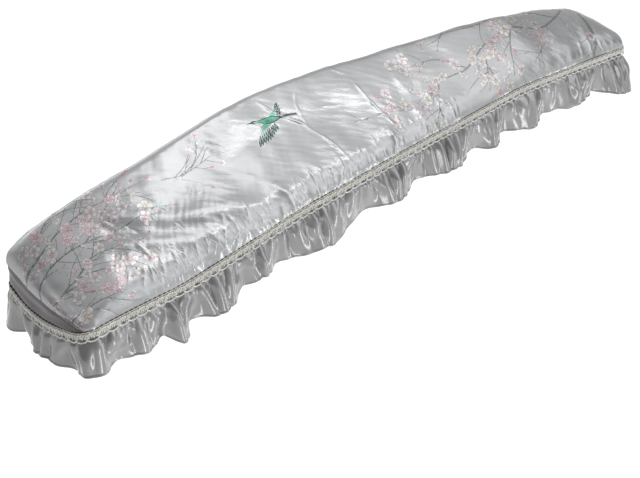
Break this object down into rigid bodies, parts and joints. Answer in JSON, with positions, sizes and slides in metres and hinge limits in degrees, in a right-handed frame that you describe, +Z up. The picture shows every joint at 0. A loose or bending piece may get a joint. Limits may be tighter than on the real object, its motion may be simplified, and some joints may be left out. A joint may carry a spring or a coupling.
{
  "type": "guzheng dust cover",
  "caption": "Long fitted satin dust cover with a tented top panel, lace ribbon over the seam and a gathered ruffle hanging all round, hollow below.",
  "frame": {"origin": "underside of the top cloth at the middle of the cover's length and width", "axes": "+X along the cover towards its wide end, -Y towards the front side, +Z up"},
  "size_m": [1.7225, 0.4171, 0.2898],
  "materials": {
    "satin": "satin",
    "plain_satin": "satin",
    "lace": "matte",
    "ruffle_satin": "satin"
  },
  "bodies": {
    "root": {"top_panel": "satin", "tail_band": "plain_satin", "lace_trim": "lace", "ruffle": "ruffle_satin"}
  },
  "joints": []
}
